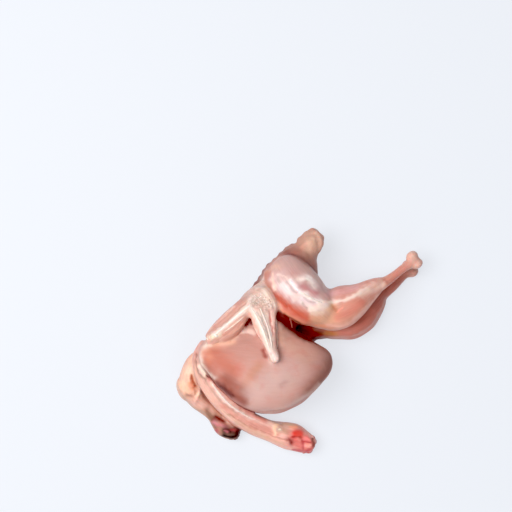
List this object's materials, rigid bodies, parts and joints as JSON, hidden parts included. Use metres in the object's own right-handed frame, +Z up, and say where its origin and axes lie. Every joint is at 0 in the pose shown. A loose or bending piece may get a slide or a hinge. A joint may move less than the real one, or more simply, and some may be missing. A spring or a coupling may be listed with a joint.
{
  "type": "whole raw quail",
  "caption": "Small skinned and drawn game bird lying on its side, legs out behind, one wing folded over the breast, neck curved round it; for a plate, tray or kitchen scene.",
  "frame": {"origin": "on the surface that the bird lies on, under the middle of its box", "axes": "+X from the neck towards the feet, +Y from the keel of the breast towards the tail, +Z up"},
  "size_m": [0.1169, 0.108, 0.0455],
  "materials": {
    "raw_meat": "wet"
  },
  "bodies": {
    "root": {"quail": "raw_meat"}
  },
  "joints": []
}
